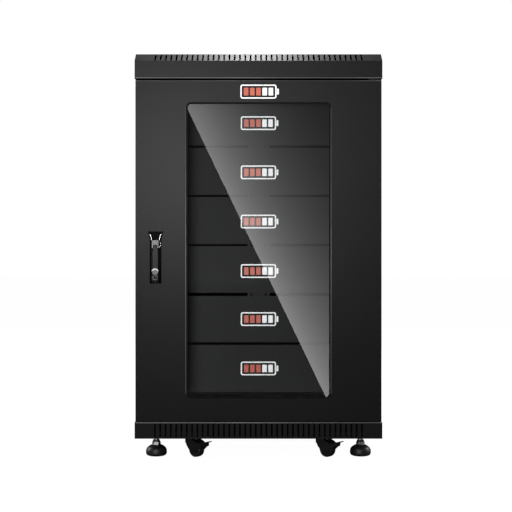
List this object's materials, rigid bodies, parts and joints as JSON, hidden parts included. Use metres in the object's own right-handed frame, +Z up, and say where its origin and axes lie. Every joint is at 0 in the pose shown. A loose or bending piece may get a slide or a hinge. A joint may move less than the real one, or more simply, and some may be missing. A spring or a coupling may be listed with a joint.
{
  "type": "server rack battery",
  "caption": "Floor-standing rack battery cabinet with stacked modules behind a smoked glass door, vented plinth and cover, lift-and-turn lock, casters and levelling feet.",
  "frame": {"origin": "on the floor, under the centre of the cabinet", "axes": "+Z up, -Y out of the front door, +X to the right seen from the front"},
  "size_m": [0.6, 0.626, 0.988],
  "materials": {
    "powder_coat": "fine textured matt black powder coat",
    "plinth_coat": "fine textured matt black powder coat",
    "module_face": "fine textured dark grey powder coat",
    "smoked_glass": "clear tempered, lightly smoked",
    "gasket_rubber": "matt",
    "zinc": "bright zinc plated",
    "cell_case": "blue film over aluminium",
    "circuit_board": "solder mask",
    "copper": "bare copper, slightly dulled",
    "insulator": "moulded",
    "black_plastic": "fine grained moulding",
    "lock_body": "smooth satin black",
    "lever_paint": "smooth satin black",
    "lock_metal": "satin nickel",
    "wheel_plastic": "moulded nylon",
    "pad_rubber": "matt moulded",
    "brush_fibre": "bristles"
  },
  "bodies": {
    "cabinet": {"base_tray": "plinth_coat", "corner_posts": "powder_coat", "frame_rails": "powder_coat", "rack_rails": "zinc", "battery_runners": "zinc", "top_cover": "powder_coat", "cable_brush": "brush_fibre", "left_side_panel": "powder_coat", "right_side_panel": "powder_coat", "filter_mats": "brush_fibre", "hinge_pins": "powder_coat", "screws": "zinc", "battery_cells": "cell_case", "battery_boards": "circuit_board", "terminals": "copper", "busbar_positive": "copper", "busbar_negative": "copper", "busbar_insulators": "insulator", "caster_plates": "zinc", "battery_1_case": "module_face", "battery_1_faceplate": "module_face", "battery_2_case": "module_face", "battery_2_faceplate": "module_face", "battery_3_case": "module_face", "battery_3_faceplate": "module_face", "battery_4_case": "module_face", "battery_4_faceplate": "module_face", "battery_5_case": "module_face", "battery_5_faceplate": "module_face", "battery_6_case": "module_face", "battery_6_faceplate": "module_face"},
    "front_door": {"front_door": "powder_coat", "door_bushes": "black_plastic", "window_gasket": "gasket_rubber", "window_glass": "smoked_glass", "lock_housing": "lock_body"},
    "lock": {"lock_spindle": "lock_metal", "latch_cam": "zinc"},
    "lock_lever": {"lever": "lever_paint"},
    "key": {"key_cylinder": "lock_metal"},
    "rear_door": {"rear_door": "powder_coat"},
    "rear_lock": {"rear_lock": "lock_metal"},
    "caster_1": {"caster_1_fork": "black_plastic"},
    "wheel_1": {"caster_1_wheel": "wheel_plastic"},
    "brake_1": {"caster_1_brake": "black_plastic"},
    "foot_1": {"foot_1_pad": "pad_rubber", "foot_1_stud": "zinc"},
    "caster_2": {"caster_2_fork": "black_plastic"},
    "wheel_2": {"caster_2_wheel": "wheel_plastic"},
    "brake_2": {"caster_2_brake": "black_plastic"},
    "foot_2": {"foot_2_pad": "pad_rubber", "foot_2_stud": "zinc"},
    "caster_3": {"caster_3_fork": "black_plastic"},
    "wheel_3": {"caster_3_wheel": "wheel_plastic"},
    "foot_3": {"foot_3_pad": "pad_rubber", "foot_3_stud": "zinc"},
    "caster_4": {"caster_4_fork": "black_plastic"},
    "wheel_4": {"caster_4_wheel": "wheel_plastic"},
    "foot_4": {"foot_4_pad": "pad_rubber", "foot_4_stud": "zinc"}
  },
  "joints": [
    {"name": "door_hinge", "type": "hinge", "parent": "cabinet", "child": "front_door", "pos_m": [0.286, -0.289, 0], "axis": [0, 0, 1], "range_deg": [0, 110]},
    {"name": "lock_turn", "type": "hinge", "parent": "front_door", "child": "lock", "pos_m": [-0.249, -0.3, 0.524], "axis": [0, -1, 0], "range_deg": [0, 90]},
    {"name": "lever_lift", "type": "hinge", "parent": "lock", "child": "lock_lever", "pos_m": [-0.249, -0.308, 0.516], "axis": [-1, 0, 0], "range_deg": [0, 35]},
    {"name": "key_turn", "type": "hinge", "parent": "lock_lever", "child": "key", "pos_m": [-0.249, -0.308, 0.4555], "axis": [0, -1, 0], "range_deg": [0, 90]},
    {"name": "rear_door_hinge", "type": "hinge", "parent": "cabinet", "child": "rear_door", "pos_m": [0.286, 0.289, 0], "axis": [0, 0, -1], "range_deg": [0, 110]},
    {"name": "rear_lock_turn", "type": "hinge", "parent": "rear_door", "child": "rear_lock", "pos_m": [-0.249, 0.3, 0.524], "axis": [0, -1, 0], "range_deg": [0, 90]},
    {"name": "caster_1_swivel", "type": "hinge", "parent": "cabinet", "child": "caster_1", "pos_m": [-0.161, -0.25, 0], "axis": [0, 0, 1], "continuous": true},
    {"name": "wheel_1_roll", "type": "hinge", "parent": "caster_1", "child": "wheel_1", "pos_m": [-0.15194, -0.25787, 0.0194], "axis": [0.6561, 0.7547, 0], "continuous": true},
    {"name": "brake_1_press", "type": "hinge", "parent": "caster_1", "child": "brake_1", "pos_m": [-0.13448, -0.27305, 0.0317], "axis": [0.6561, 0.7547, 0], "range_deg": [0, 15]},
    {"name": "foot_1_height", "type": "slide", "parent": "cabinet", "child": "foot_1", "axis": [0, 0, 1], "range_m": [-0.015, 0.008]},
    {"name": "caster_2_swivel", "type": "hinge", "parent": "cabinet", "child": "caster_2", "pos_m": [0.161, -0.25, 0], "axis": [0, 0, 1], "continuous": true},
    {"name": "wheel_2_roll", "type": "hinge", "parent": "caster_2", "child": "wheel_2", "pos_m": [0.17006, -0.25787, 0.0194], "axis": [0.6561, 0.7547, 0], "continuous": true},
    {"name": "brake_2_press", "type": "hinge", "parent": "caster_2", "child": "brake_2", "pos_m": [0.18751, -0.27305, 0.0317], "axis": [0.6561, 0.7547, 0], "range_deg": [0, 15]},
    {"name": "foot_2_height", "type": "slide", "parent": "cabinet", "child": "foot_2", "axis": [0, 0, 1], "range_m": [-0.015, 0.008]},
    {"name": "caster_3_swivel", "type": "hinge", "parent": "cabinet", "child": "caster_3", "pos_m": [-0.161, 0.25, 0], "axis": [0, 0, 1], "continuous": true},
    {"name": "wheel_3_roll", "type": "hinge", "parent": "caster_3", "child": "wheel_3", "pos_m": [-0.15194, 0.25787, 0.0194], "axis": [-0.6561, 0.7547, 0], "continuous": true},
    {"name": "foot_3_height", "type": "slide", "parent": "cabinet", "child": "foot_3", "axis": [0, 0, 1], "range_m": [-0.015, 0.008]},
    {"name": "caster_4_swivel", "type": "hinge", "parent": "cabinet", "child": "caster_4", "pos_m": [0.161, 0.25, 0], "axis": [0, 0, 1], "continuous": true},
    {"name": "wheel_4_roll", "type": "hinge", "parent": "caster_4", "child": "wheel_4", "pos_m": [0.17006, 0.25787, 0.0194], "axis": [-0.6561, 0.7547, 0], "continuous": true},
    {"name": "foot_4_height", "type": "slide", "parent": "cabinet", "child": "foot_4", "axis": [0, 0, 1], "range_m": [-0.015, 0.008]}
  ]
}
